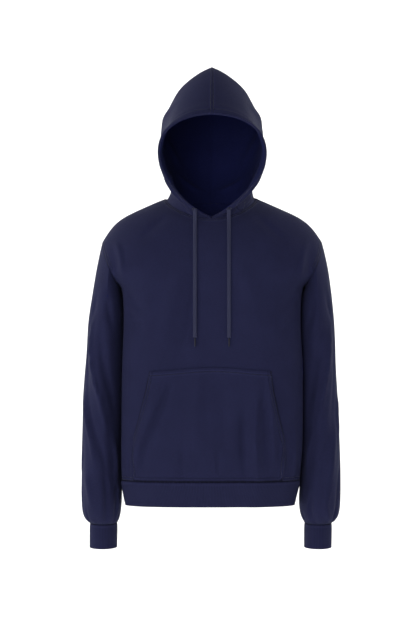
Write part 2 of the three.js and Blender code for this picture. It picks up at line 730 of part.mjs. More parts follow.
// Drawcord ends hang from the hood hem down the chest: where each is, and its flat section
const CORD_X = { left: 38, right: -34 };
const CORD_WIDE = 8;
const CORD_THICK = 3.2;
const CORD_CLEAR = 0.9;
const CORD_TOP_Z = -29;
const CORD_END_Z = -304;

// The cord leaves the hem of the hood in front of the chest, and lies on the chest from there down
const COLLAR_REACH = 9.6;
const COLLAR_END_Z = -62;
const CHEST_TOP_Z = -52;
const CORD_STATIONS = 14;
const CORD_STEPS = 18;
const CORD_POINTS = 10;
const TIP_LENGTH = 17;
const TIP_RADIUS = 1.8;
const TIP_STRAIGHT = 0.85;
const TIP_TAPER = 0.7;

function cordCentre(side, z) {
  const x = CORD_X[side] - LEAN.at("trunk", z);
  const level = Math.min(z, CHEST_TOP_Z);
  const under = [-CORD_WIDE / 2, 0, CORD_WIDE / 2].map((d) => bodyPoint("front", x + d, level));
  const chest = Math.min(...under.map((p) => p.y));
  const top = smoothstep(z, COLLAR_END_Z, CORD_TOP_Z);
  return vec(x, chest - CORD_THICK / 2 - CORD_CLEAR - COLLAR_REACH * top, z);
}

// The cord's centre line from the hood hem down, leaning as the garment does
function cordPath(side) {
  const levels = shares(CORD_STATIONS).map((t) => lerp(CORD_TOP_Z, CORD_END_Z, t));
  return new THREE.CatmullRomCurve3(levels.map((z) => leaned(cordCentre(side, z))));
}

function cordMeshes(side) {
  const outline = shares(CORD_POINTS).slice(1).map((t) => {
    const turn = 2 * Math.PI * t;
    return new THREE.Vector2((CORD_WIDE / 2) * Math.cos(turn), (CORD_THICK / 2) * Math.sin(turn));
  });
  const path = cordPath(side);
  const cord = new THREE.ExtrudeGeometry(new THREE.Shape(outline), { steps: CORD_STEPS, extrudePath: path });
  const tip = new THREE.LatheGeometry(
    [
      new THREE.Vector2(0, 0),
      new THREE.Vector2(TIP_RADIUS, 0),
      new THREE.Vector2(TIP_RADIUS, TIP_LENGTH * TIP_STRAIGHT),
      new THREE.Vector2(TIP_RADIUS * TIP_TAPER, TIP_LENGTH),
      new THREE.Vector2(0, TIP_LENGTH),
    ],
    CORD_POINTS,
  );
  const tipMesh = solidMesh(`cord_tip_${side}`, tip, COLOURS.tip);
  tipMesh.position.copy(path.getPoint(1)).add(vec(0, 0, -SEAM_GAP));
  tipMesh.rotation.x = -Math.PI / 2;
  return [solidMesh(`drawcord_${side}`, cord, COLOURS.cord), tipMesh];
}

const sleeves = { left: sleeveSheet("left"), right: sleeveSheet("right") };
const hoods = { left: hoodSheet("left"), right: hoodSheet("right") };

const hoodie = new THREE.Group();
hoodie.name = "pullover_hoodie";
hoodie.add(
  clothMesh("front", front, COLOURS.body),
  clothMesh("back", back, COLOURS.body),
  clothMesh("pocket", pocketSheet(), COLOURS.body),
  clothMesh("hem_rib", hemSheet(), COLOURS.rib),
);
for (const side of Object.keys(SIDES)) {
  hoodie.add(
    clothMesh(`sleeve_${side}`, sleeves[side], COLOURS.body),
    clothMesh(`cuff_${side}`, cuffSheet(sleeves[side], side), COLOURS.rib),
    clothMesh(`hood_${side}`, hoods[side], COLOURS.body),
    ...cordMeshes(side),
  );
}

export default hoodie;
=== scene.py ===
"""A pullover hoodie: knitted cloth, folds, seams, stitches, ribs and drawcords over its solids.

Everything is in metres in the solids' frame: +Z up, the chest towards -Y, the wearer's left towards +X,
and the origin at the base of the neck.
"""

import math

import bmesh
import bpy
import numpy as np
from mathutils import Matrix, Vector
from mathutils.bvhtree import BVHTree
from mathutils.kdtree import KDTree


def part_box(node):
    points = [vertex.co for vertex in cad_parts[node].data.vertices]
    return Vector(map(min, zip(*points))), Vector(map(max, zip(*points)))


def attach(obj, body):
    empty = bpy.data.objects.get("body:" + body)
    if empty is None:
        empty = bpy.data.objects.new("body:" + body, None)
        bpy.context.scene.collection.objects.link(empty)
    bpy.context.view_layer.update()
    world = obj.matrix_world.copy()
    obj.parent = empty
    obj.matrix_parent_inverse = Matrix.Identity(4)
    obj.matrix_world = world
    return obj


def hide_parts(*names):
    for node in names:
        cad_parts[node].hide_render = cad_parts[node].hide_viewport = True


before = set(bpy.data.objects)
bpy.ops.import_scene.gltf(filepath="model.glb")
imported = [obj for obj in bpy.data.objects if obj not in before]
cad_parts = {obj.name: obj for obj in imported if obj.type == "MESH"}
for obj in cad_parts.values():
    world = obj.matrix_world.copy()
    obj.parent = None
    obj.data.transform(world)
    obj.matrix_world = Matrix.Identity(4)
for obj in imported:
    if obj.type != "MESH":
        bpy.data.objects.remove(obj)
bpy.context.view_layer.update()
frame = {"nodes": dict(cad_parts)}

MM = 0.001
SIDES = {"left": 1, "right": -1}

# The photograph's frame, the distance it was taken from and how much one pixel shows at the garment
FRAME_PIXELS = (420, 630)
PIXEL = 2.2 * MM
VIEW_DISTANCE = 3.2
VIEW_CENTRE = Vector((-0.0022, 0.0, -0.2552))

FLOOR_Z = -1.25

# Colours of the cloths, as seen in even light; NAVY_INNER is darker and bluer, painted shade for the
# garment's shadowed inside
NAVY = (0.0143, 0.0156, 0.0478)
NAVY_RIB = (0.0140, 0.0153, 0.0464)
NAVY_INNER = (0.0092, 0.0118, 0.0640)
NAVY_CORD = (0.0240, 0.0265, 0.0660)
NAVY_THREAD = (0.0200, 0.0220, 0.0540)
NAVY_TIP = (0.0070, 0.0075, 0.0200)

# The twin lines of stitches, their pitch, length and thickness, and the depth of the turned hems
STITCH_PITCH = 3.4 * MM
STITCH_LENGTH = 2.6 * MM
STITCH_RADIUS = 0.34 * MM
TWIN_LINES = (1.8 * MM, 7.6 * MM)
HOOD_HEM = 12.5 * MM
POCKET_HEM = 8.8 * MM
HOOD_SEAM = 2.6 * MM
NECK_LINES = (2.4 * MM, 6.8 * MM)
ROW_TROUGH = 1.7 * MM
FAR_AWAY = 1.0
POCKET_TOP_BAND = 15 * MM
NECK_TOP_Z = -120 * MM
NECK_HALF = 105 * MM

# One groove and one rib of the knitted bands
RIB_PERIOD = 6.4 * MM

# The flat braided drawcords: width and thickness; the length that hangs out comes from the drawcord parts
CORD_WIDE = 8 * MM
CORD_THICK = 3.2 * MM

SHARP_TURN = math.radians(48)
SEAM_ROUNDING = 0.8 * MM
SEAM_REACH = 1.6 * MM
# How far a panel's cut edge is drawn over to the next panel, as a share of the gap
SEAM_SHARE = 0.55
# At the nape the hood leans back, so its cut edges turn less, and they lap over the back a little
NAPE_TURN = math.radians(34)
NAPE_REACH = 60 * MM
NAPE_LAP = 1.2 * MM
# Every fold's height in the tables below is raised by this much
FOLD_LIFT = 2.2

# The nodes that are sewn edge to edge
SEWN_NODES = (
    "front",
    "back",
    "hem_rib",
    "sleeve_left",
    "sleeve_right",
    "cuff_left",
    "cuff_right",
    "hood_left",
    "hood_right",
)


# Camera


def add_camera():
    """Stands level with the middle of the photograph and looks straight at the chest."""
    data = bpy.data.cameras.new("photo_camera")
    data.sensor_fit = "VERTICAL"
    data.sensor_height = 36
    data.lens = data.sensor_height * VIEW_DISTANCE / (FRAME_PIXELS[1] * PIXEL)
    camera = bpy.data.objects.new("photo_camera", data)
    camera.location = VIEW_CENTRE + Vector((0, -VIEW_DISTANCE, 0))
    camera.rotation_euler = (math.radians(90), 0, 0)
    bpy.context.collection.objects.link(camera)
    bpy.context.scene.camera = camera


# Shader maths


class Wire:
    """One output socket, which can be added, multiplied and compared as a number is."""

    def __init__(self, tree, socket):
        self.tree = tree
        self.socket = socket

    def node(self, kind, settings=None, output=0, **inputs):
        return wire_node(self.tree, kind, settings, output, **inputs)

    def maths(self, operation, *values):
        node = self.tree.nodes.new("ShaderNodeMath")
        node.operation = operation
        for socket, value in zip(node.inputs, values):
            plug(self.tree, socket, value)
        return Wire(self.tree, node.outputs[0])

    def __add__(self, other):
        return self.maths("ADD", self, other)

    def __sub__(self, other):
        return self.maths("SUBTRACT", self, other)

    def __rsub__(self, other):
        return self.maths("SUBTRACT", other, self)

    def __mul__(self, other):
        return self.maths("MULTIPLY", self, other)

    def __truediv__(self, other):
        return self.maths("DIVIDE", self, other)

    __radd__ = __add__
    __rmul__ = __mul__

    def size(self):
        return self.maths("ABSOLUTE", self)

    def wave(self, period):
        """Swings from -1 to 1 over each period."""
        return self.maths("SINE", self * (2 * math.pi / period))

    def between(self, low, high):
        """Rises smoothly from 0 at low to 1 at high."""
        settings = {"interpolation_type": "SMOOTHSTEP"}
        return self.node("ShaderNodeMapRange", settings, Value=self, From_Min=low, From_Max=high)


def plug(tree, socket, value):
    if isinstance(value, Wire):
        tree.links.new(value.socket, socket)
    else:
        socket.default_value = value


def wire_node(tree, kind, settings=None, output=0, **inputs):
    """Any other node: its settings first, then the values or links of its sockets by name."""
    node = tree.nodes.new(kind)
    for name, value in (settings or {}).items():
        setattr(node, name, value)
    for name, value in inputs.items():
        plug(tree, node.inputs[name.replace("_", " ")], value)
    return Wire(tree, node.outputs[output])


def new_material(name, **fixed):
    """An empty cloth shader, with the values that are the same all over it."""
    material = bpy.data.materials.new(name)
    material.use_nodes = True
    tree = material.node_tree
    shader = tree.nodes["Principled BSDF"]
    for socket, value in fixed.items():
        shader.inputs[socket.replace("_", " ")].default_value = value
    return material, tree, shader


def mixed(tree, share, one, two):
    """A colour between two colours."""
    node = tree.nodes.new("ShaderNodeMix")
    node.data_type = "RGBA"
    plug(tree, node.inputs[0], share)
    plug(tree, node.inputs[6], one)
    plug(tree, node.inputs[7], two)
    return Wire(tree, node.outputs[2])


def shade(colour, factor):
    return (colour[0] * factor, colour[1] * factor, colour[2] * factor, 1)


def place_of(tree):
    """The object coordinates: the whole place, then x, y and z."""
    place = wire_node(tree, "ShaderNodeTexCoord", output="Object")
    parts = [wire_node(tree, "ShaderNodeSeparateXYZ", output=k, Vector=place) for k in range(3)]
    return place, *parts


def noise(tree, place, scale, detail=2.0, roughness=0.5):
    return wire_node(
        tree, "ShaderNodeTexNoise", Vector=place, Scale=scale, Detail=detail, Roughness=roughness
    )


def bump(tree, height, strength, distance, normal=None):
    extra = {} if normal is None else {"Normal": normal}
    return wire_node(
        tree, "ShaderNodeBump", Height=height, Strength=strength, Distance=distance, **extra
    )


def cloth_coordinates(tree):
    """Across and along the cloth: along is up, and across is x in front and y at the sides."""
    place, x, y, z = place_of(tree)
    normal = wire_node(tree, "ShaderNodeTexCoord", output="Normal")
    side = wire_node(tree, "ShaderNodeSeparateXYZ", output=0, Vector=normal).size()
    turned = side.between(0.62, 0.78)
    return place, x + (y - x) * turned, z


def trough(distance):
    """1 along a row of stitches, 0 where the cloth is free of it."""
    return 1 - distance.size().between(0, ROW_TROUGH)


def stretched(tree, across, along):
    """The cloth's own coordinates, drawn out along the knitted courses."""
    return wire_node(
        tree, "ShaderNodeCombineXYZ", X=across * 170, Y=along * 520, Z=across * 0
    )


def fleece_material():
    """A plain knitted face with a soft bloom: fine columns of stitches, a faint mottle and slack cloth."""
    material, tree, shader = new_material(
        "navy_fleece",
        Sheen_Weight=0.045,
        Sheen_Roughness=0.5,
        Sheen_Tint=(0.30, 0.33, 0.52, 1),
        Specular_IOR_Level=0.09,
    )
    place, across, along = cloth_coordinates(tree)
    seam, hem, inner = [
        wire_node(tree, "ShaderNodeAttribute", {"attribute_name": name}, "Fac")
        for name in ("seam", "hem", "inner")
    ]
    outer = 1 - inner.between(0.3, 0.7)
    rows = (trough(seam - TWIN_LINES[0]) + trough(seam - TWIN_LINES[1]) + trough(hem)) * outer
    join = (1 - seam.between(0.3 * MM, 2.2 * MM)) * outer
    turned_hem = (1 - hem.between(-ROW_TROUGH, ROW_TROUGH)) * outer
    lip = (1 - (hem.size() - 1.6 * ROW_TROUGH).size().between(0, ROW_TROUGH)) * outer
    mottle = noise(tree, place, 26, 3.0)
    heather = noise(tree, place, 1100, 2.0, 0.7)
    courses = noise(tree, stretched(tree, across, along), 1.0, 2.0, 0.6)
    tone = mottle * 0.2 + heather * 0.4 + courses * 0.4
    face = mixed(tree, tone.between(0.32, 0.68), shade(NAVY, 0.86), shade(NAVY, 1.16))
    # Painted shade: the cloth's colour darkens along the stitch troughs and in the seam joins, where shade
    # falls.
    sunk = mixed(tree, (rows * 0.5 + join * 0.8).between(0, 1), face, shade(NAVY, 0.32))
    # Painted highlight: the raised lip beside each hem row is lightened as if it caught the light.
    lit_lip = mixed(tree, lip * 0.5, sunk, shade(NAVY, 1.7))
    # Painted shade: the inner side takes the darker, bluer NAVY_INNER, standing in for the bluish shadow
    # inside the hood, with random tone.
    shaded_inside = mixed(tree, tone.between(0.3, 0.7), shade(NAVY_INNER, 0.82), shade(NAVY_INNER, 1.2))
    plug(tree, shader.inputs["Base Color"], mixed(tree, outer, shaded_inside, lit_lip))
    plug(tree, shader.inputs["Roughness"], 0.80 + 0.14 * heather)
    wale = across.wave(1.5 * MM)
    legs = (along + across.wave(1.5 * MM).size() * (0.5 * MM)).wave(1.15 * MM)
    knit = bump(tree, wale * 0.55 + legs * 0.35 + heather * 1.1 + courses * 1.5, 0.5, 0.14 * MM)
    slack = bump(tree, noise(tree, place, 14, 2.0, 0.5), 0.1, 5 * MM, knit)
    pucker = noise(tree, place, 150, 1.5) * (1 - seam.between(3 * MM, 13 * MM)) * outer
    relief = pucker * 0.5 - rows * 0.8 - join * 1.2 + turned_hem * 0.9
    sewn = bump(tree, relief, 0.8, 1.0 * MM, slack)
    plug(tree, shader.inputs["Normal"], sewn)
    return material


def rib_material():
    """Two by two rib: deep upright grooves between rounded ribs, along the band's own map."""
    material, tree, shader = new_material(
        "navy_rib",
        Sheen_Weight=0.045,
        Sheen_Roughness=0.5,
        Sheen_Tint=(0.30, 0.33, 0.52, 1),
        Specular_IOR_Level=0.09,
    )
    place, _, _, z = place_of(tree)
    round_band = wire_node(tree, "ShaderNodeUVMap", {"uv_map": "band"})
    around = wire_node(tree, "ShaderNodeSeparateXYZ", output=0, Vector=round_band)
    groove = around.wave(RIB_PERIOD)
    height = groove.size().between(0, 0.8)
    heather = noise(tree, place, 1100, 2.0, 0.7)
    # Painted shade and highlight: the band's colour darkens in the grooves and lightens on the rib crests,
    # mixed with random tone.
    tone = height * 0.55 + noise(tree, place, 40, 3.0) * 0.25 + heather * 0.2
    colour = mixed(tree, tone.between(0.1, 0.9), shade(NAVY_RIB, 0.72), shade(NAVY_RIB, 1.2))
    seam = wire_node(tree, "ShaderNodeAttribute", {"attribute_name": "seam"}, "Fac")
    # Painted shade in the seam join, and a painted highlight on the ridge 5 mm from the seam, where light
    # would catch it.
    join = 1 - seam.between(0.3 * MM, 2.4 * MM)
    shoulder = 1 - (seam - 5 * MM).size().between(0, 3.5 * MM)
    lit = mixed(tree, shoulder * 0.35, colour, shade(NAVY_RIB, 1.7))
    plug(tree, shader.inputs["Base Color"], mixed(tree, join, lit, shade(NAVY_RIB, 0.3)))
    plug(tree, shader.inputs["Roughness"], 0.82 + 0.12 * heather)
    loops = z.wave(1.3 * MM)
    ribs = bump(tree, height + loops * 0.08, 0.75, 0.8 * MM)
    slack = bump(tree, noise(tree, place, 30, 2.0), 0.3, 3 * MM, ribs)
    plug(tree, shader.inputs["Normal"], slack)
    return material


def cord_material():
    """A flat braid: strands that slant up from both edges and meet in a row of points."""
    material, tree, shader = new_material(
        "navy_cord",
        Sheen_Weight=0.15,
        Sheen_Roughness=0.4,
        Sheen_Tint=(0.35, 0.38, 0.55, 1),
        Specular_IOR_Level=0.3,
    )
    place = place_of(tree)[0]
    along = wire_node(tree, "ShaderNodeAttribute", {"attribute_name": "along"}, "Fac")
    across = wire_node(tree, "ShaderNodeAttribute", {"attribute_name": "across"}, "Fac")
    strands = (along + across.size() * 0.8).wave(1.9 * MM)
    rows = across.wave(2.7 * MM)
    height = strands.between(-1, 1) * 0.7 + rows.size() * 0.3
    fine = noise(tree, place, 1500, 2.0)
    # Painted shade: the braid is darker in the dips between strands and lighter on their crowns, mixed with
    # random tone.
    colour = mixed(tree, height * 0.8 + fine * 0.2, shade(NAVY_CORD, 0.62), shade(NAVY_CORD, 1.25))
    plug(tree, shader.inputs["Base Color"], colour)
    plug(tree, shader.inputs["Roughness"], 0.70 + 0.15 * fine)
    plug(tree, shader.inputs["Normal"], bump(tree, height + fine * 0.2, 0.8, 0.5 * MM))
    return material


def thread_material():
    """Spun sewing thread, a shade lighter than the cloth."""
    material, tree, shader = new_material("navy_thread", Sheen_Weight=0.1, Specular_IOR_Level=0.35)
    place, x, _, z = place_of(tree)
    twist = (x + z).wave(0.45 * MM)
    # Partly painted shade: the colour follows the twist, darker in its grooves, mixed with random tone.
    tone = twist * 0.25 + noise(tree, place, 900, 1.0)
    colour = mixed(tree, tone.between(0.2, 0.8), shade(NAVY_THREAD, 0.8), shade(NAVY_THREAD, 1.25))
    plug(tree, shader.inputs["Base Color"], colour)
    plug(tree, shader.inputs["Roughness"], 0.55 + 0.1 * tone)
    plug(tree, shader.inputs["Normal"], bump(tree, twist, 0.4, 0.08 * MM))
    return material


def tip_material():
    """The cord's end, bound round and round with waxed thread and sealed."""
    material, tree, shader = new_material("navy_cord_tip", Specular_IOR_Level=0.4)
    place, _, _, z = place_of(tree)
    turns = z.wave(0.9 * MM)
    # Painted shade: the colour darkens between the bound turns and lightens on them, mixed with random tone.
    tone = turns.between(-1, 1) * 0.7 + noise(tree, place, 700, 2.0) * 0.3
    colour = mixed(tree, tone, shade(NAVY_TIP, 0.7), shade(NAVY_TIP, 1.5))
    plug(tree, shader.inputs["Base Color"], colour)
    plug(tree, shader.inputs["Roughness"], 0.42 + 0.2 * tone)
    plug(tree, shader.inputs["Normal"], bump(tree, turns, 0.6, 0.15 * MM))
    return material


# Cloth from the solids


def merged_copy(node):
    """A node's mesh with its loose triangles joined into four-sided cells."""
    bm = bmesh.new()
    bm.from_mesh(frame["nodes"][node].data)
    bmesh.ops.remove_doubles(bm, verts=bm.verts, dist=0.01 * MM)
    bmesh.ops.join_triangles(
        bm,
        faces=bm.faces,
        angle_face_threshold=math.radians(30),
        angle_shape_threshold=math.radians(80),
    )
    return bm


def turn_at(edge):
    return edge.calc_face_angle(0) if len(edge.link_faces) == 2 else math.pi


def at_nape(place):
    return abs(place.x) < NAPE_REACH and abs(place.z) < NAPE_REACH and place.y > 0


def is_cut(edge):
    """Whether an edge is one of a panel's cut ones, which turn less at the nape as the hood leans back."""
    limit = NAPE_TURN if at_nape(edge.verts[0].co) else SHARP_TURN
    return turn_at(edge) > limit


def object_from(bm, name):
    mesh = bpy.data.meshes.new(name)
    bm.to_mesh(mesh)
    bm.free()
    piece = bpy.data.objects.new(name, mesh)
    bpy.context.collection.objects.link(piece)
    return piece


def apply_modifiers(piece):
    """Replaces a piece's mesh by what its modifiers make of it."""
    graph = bpy.context.evaluated_depsgraph_get()
    graph.update()
    done = bpy.data.meshes.new_from_object(piece.evaluated_get(graph))
    piece.modifiers.clear()
    piece.data = done
    done.name = piece.name


def surface_of(*pieces):
    """One search tree over the pieces' meshes."""
    bm = bmesh.new()
    for piece in pieces:
        bm.from_mesh(piece.data)
    tree = BVHTree.FromBMesh(bm)
    bm.free()
    return tree


def close_seams(bm, node):
    """Draws a panel's cut edge halfway over to the panel that it is sewn to."""
    others = surface_of(*[frame["nodes"][other] for other in SEWN_NODES if other != node])
    cut = {vert for edge in bm.edges if is_cut(edge) for vert in edge.verts}
    for vert in cut:
        near = others.find_nearest(vert.co, SEAM_REACH)[0]
        if near is not None:
            way = near - vert.co
            lap = NAPE_LAP if at_nape(vert.co) else 0
            vert.co += way * SEAM_SHARE + way.normalized() * lap


def smoothed(node, name, levels):
    """A fine smooth copy of a node's cloth, its outer cut edges slightly rounded."""
    bm = merged_copy(node)
    if node in SEWN_NODES:
        close_seams(bm, node)
    crease = bm.edges.layers.float.new("crease_edge")
    for edge in bm.edges:
        if is_cut(edge):
            edge[crease] = 1.0
    piece = object_from(bm, name)
    smoothing = piece.modifiers.new("smooth_cloth", "SUBSURF")
    smoothing.levels = levels
    smoothing.render_levels = levels
    apply_modifiers(piece)
    bm = bmesh.new()
    bm.from_mesh(piece.data)
    bmesh.ops.bevel(
        bm,
        geom=outer_cut_edges(bm, node),
        offset=SEAM_ROUNDING,
        offset_type="OFFSET",
        segments=2,
        profile=0.5,
        affect="EDGES",
        material=-1,
        clamp_overlap=True,
    )
    for face in bm.faces:
        face.smooth = True
    for edge in bm.edges:
        edge.smooth = turn_at(edge) < SHARP_TURN
    bm.to_mesh(piece.data)
    bm.free()
    return piece


# Seams: the outer edge of one node where it meets another


def tree_of(points):
    tree = KDTree(len(points))
    for i, point in enumerate(points):
        tree.insert(point, i)
    tree.balance()
    return tree


SLEEVE_AXIS = Vector((236, -8, 0)) * MM
HOOD_MIDDLE = Vector((0, 10, 120)) * MM
TRUNK_SPAN = (-600 * MM, -130 * MM)
HOOD_SPAN = (30 * MM, 120 * MM)
SLEEVE_TOP = -160 * MM


def core_of(node, point):
    """A place in the hollow of a node, from which its outer side faces away."""
    kind, _, side = node.partition("_")
    if kind in ("sleeve", "cuff"):
        return Vector((SIDES[side] * SLEEVE_AXIS.x, SLEEVE_AXIS.y, min(point.z, SLEEVE_TOP)))
    low, high = HOOD_SPAN if kind == "hood" else TRUNK_SPAN
    return Vector((0, HOOD_MIDDLE.y, max(low, min(high, point.z))))


def broad_face(edge):
    return max(edge.link_faces, key=lambda face: face.calc_area())


def outer_cut_edges(bm, node):
    """The cut edges on the outer side, between a broad outer face and the narrow edge face."""
    edges = []
    for edge in bm.edges:
        if turn_at(edge) < SHARP_TURN:
            continue
        broad = broad_face(edge)
        place = broad.calc_center_median()
        if broad.normal.dot(place - core_of(node, place)) > 0:
            edges.append(edge)
    return edges


def chained(edges):
    """Edges joined end to end into lines of vertices, each closed on itself or open."""
    links = {}
    for edge in edges:
        for vert in edge.verts:
            links.setdefault(vert, []).append(edge)
    left = set(edges)
    lines = []
    ends = [v for v, met in links.items() if len(met) == 1]
    while left:
        start = next((v for v in ends if any(e in left for e in links[v])), None)
        start = start or next(e for e in edges if e in left).verts[0]
        line, vert = [start], start
        while True:
            edge = next((e for e in links[vert] if e in left), None)
            if edge is None:
                break
            left.remove(edge)
            vert = edge.other_vert(vert)
            line.append(vert)
        lines.append(line)
    return lines


def turned_sharply(line, i, limit):
    before = line[i].co - line[i - 1].co
    after = line[i + 1].co - line[i].co
    return before.angle(after, 0) > limit


def without_corners(line):
    """The stretches of a line between its sharp corners."""
    corners = [i for i in range(1, len(line) - 1) if turned_sharply(line, i, math.radians(38))]
    if line[0] is line[-1] and corners:
        line = line[corners[0] : -1] + line[: corners[0] + 1]
        corners = [i for i in range(1, len(line) - 1) if turned_sharply(line, i, math.radians(38))]
    cuts = [0, *corners, len(line) - 1]
    return [line[a : b + 1] for a, b in zip(cuts, cuts[1:])]


def seam_lines(node, others, reach=SEAM_REACH):
    """The outer edge of a node where it runs beside others, or all of it, or its free stretches.

    Each place on it is the point, the way into the cloth and the way out of it.
    """
    bm = merged_copy(node)
    beside_them = surface_of(*[frame["nodes"][other] for other in others or frame["nodes"] if other != node])
    wanted = []
    for edge in outer_cut_edges(bm, node):
        gap = beside_them.find_nearest((edge.verts[0].co + edge.verts[1].co) / 2, reach)
        if others is None or (gap[0] is not None) == bool(others):
            wanted.append(edge)
    ways = {}
    for edge in wanted:
        broad = broad_face(edge)
        along = edge.verts[1].co - edge.verts[0].co
        inward = broad.normal.cross(along).normalized()
        if inward.dot(broad.calc_center_median() - edge.verts[0].co) < 0:
            inward.negate()
        for vert in edge.verts:
            ways.setdefault(vert, []).append((inward, broad.normal.copy()))
    lines = []
    for chain in chained(wanted):
        for stretch in without_corners(chain):
            line = []
            for vert in stretch:
                inward = sum((way[0] for way in ways[vert]), Vector()).normalized()
                outward = sum((way[1] for way in ways[vert]), Vector()).normalized()
                line.append((vert.co.copy(), inward, outward))
            if len(line) > 2:
                lines.append(line)
    bm.free()
    return lines


# Folds: soft ridges and troughs laid on the cloth along listed lines

# Places in front and behind: x and z in millimetres, then the fold's width and height
TRUNK_CREASES = {
    "front": [
        ([(-98, -404), (-130, -468), (-157, -536), (-166, -590)], 9, 4.0),
        ([(-84, -410), (-112, -474), (-138, -540), (-148, -592)], 8, -2.6),
        ([(96, -430), (93, -521), (99, -602)], 7, 4.2),
        ([(110, -410), (112, -510), (116, -600)], 5, -2.6),
        ([(121, -385), (129, -457), (134, -530), (136, -580)], 6, 3.0),
        ([(70, -450), (68, -530), (76, -604)], 9, -2.8),
        ([(-24, -380), (-32, -460), (-30, -545)], 18, 2.2),
        ([(20, -400), (30, -480), (26, -560)], 15, -1.8),
        ([(-64, -150), (-86, -240), (-112, -325)], 17, 2.4),
        ([(-30, -180), (-48, -270), (-62, -340)], 14, -1.8),
        ([(60, -130), (84, -210), (92, -300)], 18, 1.8),
        ([(-189, -210), (-193, -300), (-194, -400), (-192, -500), (-190, -580)], 4, 2.4),
        ([(192, -210), (197, -300), (200, -400), (199, -500), (194, -580)], 4, 2.6),
        ([(-178, -206), (-160, -232), (-136, -250)], 8, -2.8),
        ([(-184, -226), (-166, -262), (-142, -292)], 8, -2.2),
        ([(-206, -96), (-196, -126), (-190, -168)], 7, 3.0),
        ([(184, -204), (164, -228), (140, -246)], 8, -2.6),
        ([(190, -226), (172, -264), (148, -298)], 9, -2.2),
        ([(208, -100), (198, -130), (192, -170)], 7, 2.6),
        ([(-170, -520), (-167, -566), (-168, -608)], 4, 2.4),
        ([(-176, -540), (-175, -575), (-176, -608)], 3.5, -1.8),
        ([(150, -510), (154, -560), (152, -606)], 4, 2.2),
        ([(164, -500), (167, -556), (166, -606)], 4.5, -2.0),
        ([(178, -480), (181, -540), (178, -606)], 5, 2.2),
        ([(-60, -598), (-62, -566), (-58, -530)], 6, -1.4),
        ([(14, -600), (17, -570), (13, -540)], 5, -1.2),
        ([(-94, -44), (-122, -66), (-150, -96)], 9, -1.5),
        ([(96, -44), (126, -68), (156, -98)], 9, -1.5),
    ],
    "back": [
        ([(-182, -196), (-152, -226), (-118, -246)], 9, -3.0),
        ([(-188, -222), (-162, -268), (-128, -306)], 11, -2.8),
        ([(184, -198), (154, -230), (124, -256)], 9, -3.0),
        ([(190, -226), (164, -274), (134, -318)], 11, -2.6),
        ([(-60, -60), (-90, -110), (-104, -180)], 12, -2.2),
        ([(58, -62), (86, -116), (98, -190)], 12, -2.2),
        ([(-20, -330), (-34, -420), (-26, -520)], 12, 3.0),
        ([(34, -360), (22, -450), (30, -570)], 11, 2.8),
        ([(-90, -420), (-76, -500), (-84, -596)], 9, -3.0),
        ([(92, -400), (80, -490), (86, -600)], 9, -3.0),
        ([(-150, -500), (-156, -560), (-152, -606)], 6, -2.4),
        ([(152, -490), (158, -550), (154, -606)], 6, -2.4),
        ([(0, -598), (3, -568), (-2, -530)], 7, -1.6),
    ],
}

# Places on a sleeve: the turn from its outer side by way of the front, and z
SLEEVE_CREASES = {
    "right": [
        ([(67, -262), (65, -320), (75, -384), (90, -449), (100, -512)], 5.5, 4.6),
        ([(90, -276), (92, -340), (102, -402), (118, -468)], 9, -3.4),
        ([(44, -418), (56, -470), (71, -518), (80, -578)], 5.5, 4.4),
        ([(58, -440), (72, -490), (90, -545), (98, -600)], 7, -3.0),
        ([(40, -300), (46, -360), (58, -420)], 8, -2.6),
        ([(60, -596), (68, -630), (74, -668)], 10, 3.4),
        ([(96, -600), (100, -650), (98, -700)], 6, -3.4),
        ([(22, -470), (36, -540), (40, -600)], 8, -2.4),
        ([(110, -510), (122, -560), (124, -620)], 7, 3.0),
        ([(16, -600), (34, -646), (44, -694)], 7, -2.6),
        ([(122, -624), (126, -664), (122, -704)], 6, -3.2),
        ([(76, -210), (70, -240), (60, -270)], 8, -2.0),
        ([(100, -212), (104, -250), (112, -290)], 7, -2.2),
        ([(280, -290), (250, -340), (226, -390)], 9, -3.2),
        ([(300, -400), (268, -450), (240, -510)], 9, 3.2),
        ([(260, -560), (286, -610), (300, -670)], 8, -3.0),
        ([(330, -330), (318, -400), (322, -470)], 8, -2.6),
        ([(232, -420), (252, -480), (262, -540)], 8, -2.6),
    ],
    "left": [
        ([(64, -270), (71, -330), (79, -384), (88, -438), (96, -508)], 5.5, 4.2),
        ([(86, -280), (94, -340), (104, -400), (112, -460)], 9, -3.2),
        ([(48, -300), (54, -360), (62, -420), (70, -480)], 8, -2.6),
        ([(56, -490), (66, -545), (75, -615)], 9, 3.4),
        ([(76, -520), (88, -570), (94, -630)], 7, -2.8),
        ([(30, -420), (40, -480), (44, -540)], 7, 2.6),
        ([(104, -500), (116, -556), (122, -610)], 7, 2.4),
        ([(40, -580), (52, -630), (58, -690)], 7, -2.6),
        ([(74, -630), (82, -664), (72, -702)], 6, 2.6),
        ([(104, -640), (110, -672), (106, -704)], 6, -3.0),
        ([(74, -206), (68, -236), (56, -264)], 8, -2.0),
        ([(102, -210), (106, -250), (114, -288)], 7, -2.2),
        ([(284, -300), (254, -352), (230, -410)], 9, -3.2),
        ([(304, -430), (270, -480), (246, -536)], 9, 3.2),
        ([(256, -590), (280, -636), (296, -690)], 8, -2.8),
        ([(334, -350), (322, -420), (328, -500)], 8, -2.6),
        ([(236, -440), (256, -500), (264, -556)], 8, -2.4),
    ],
}

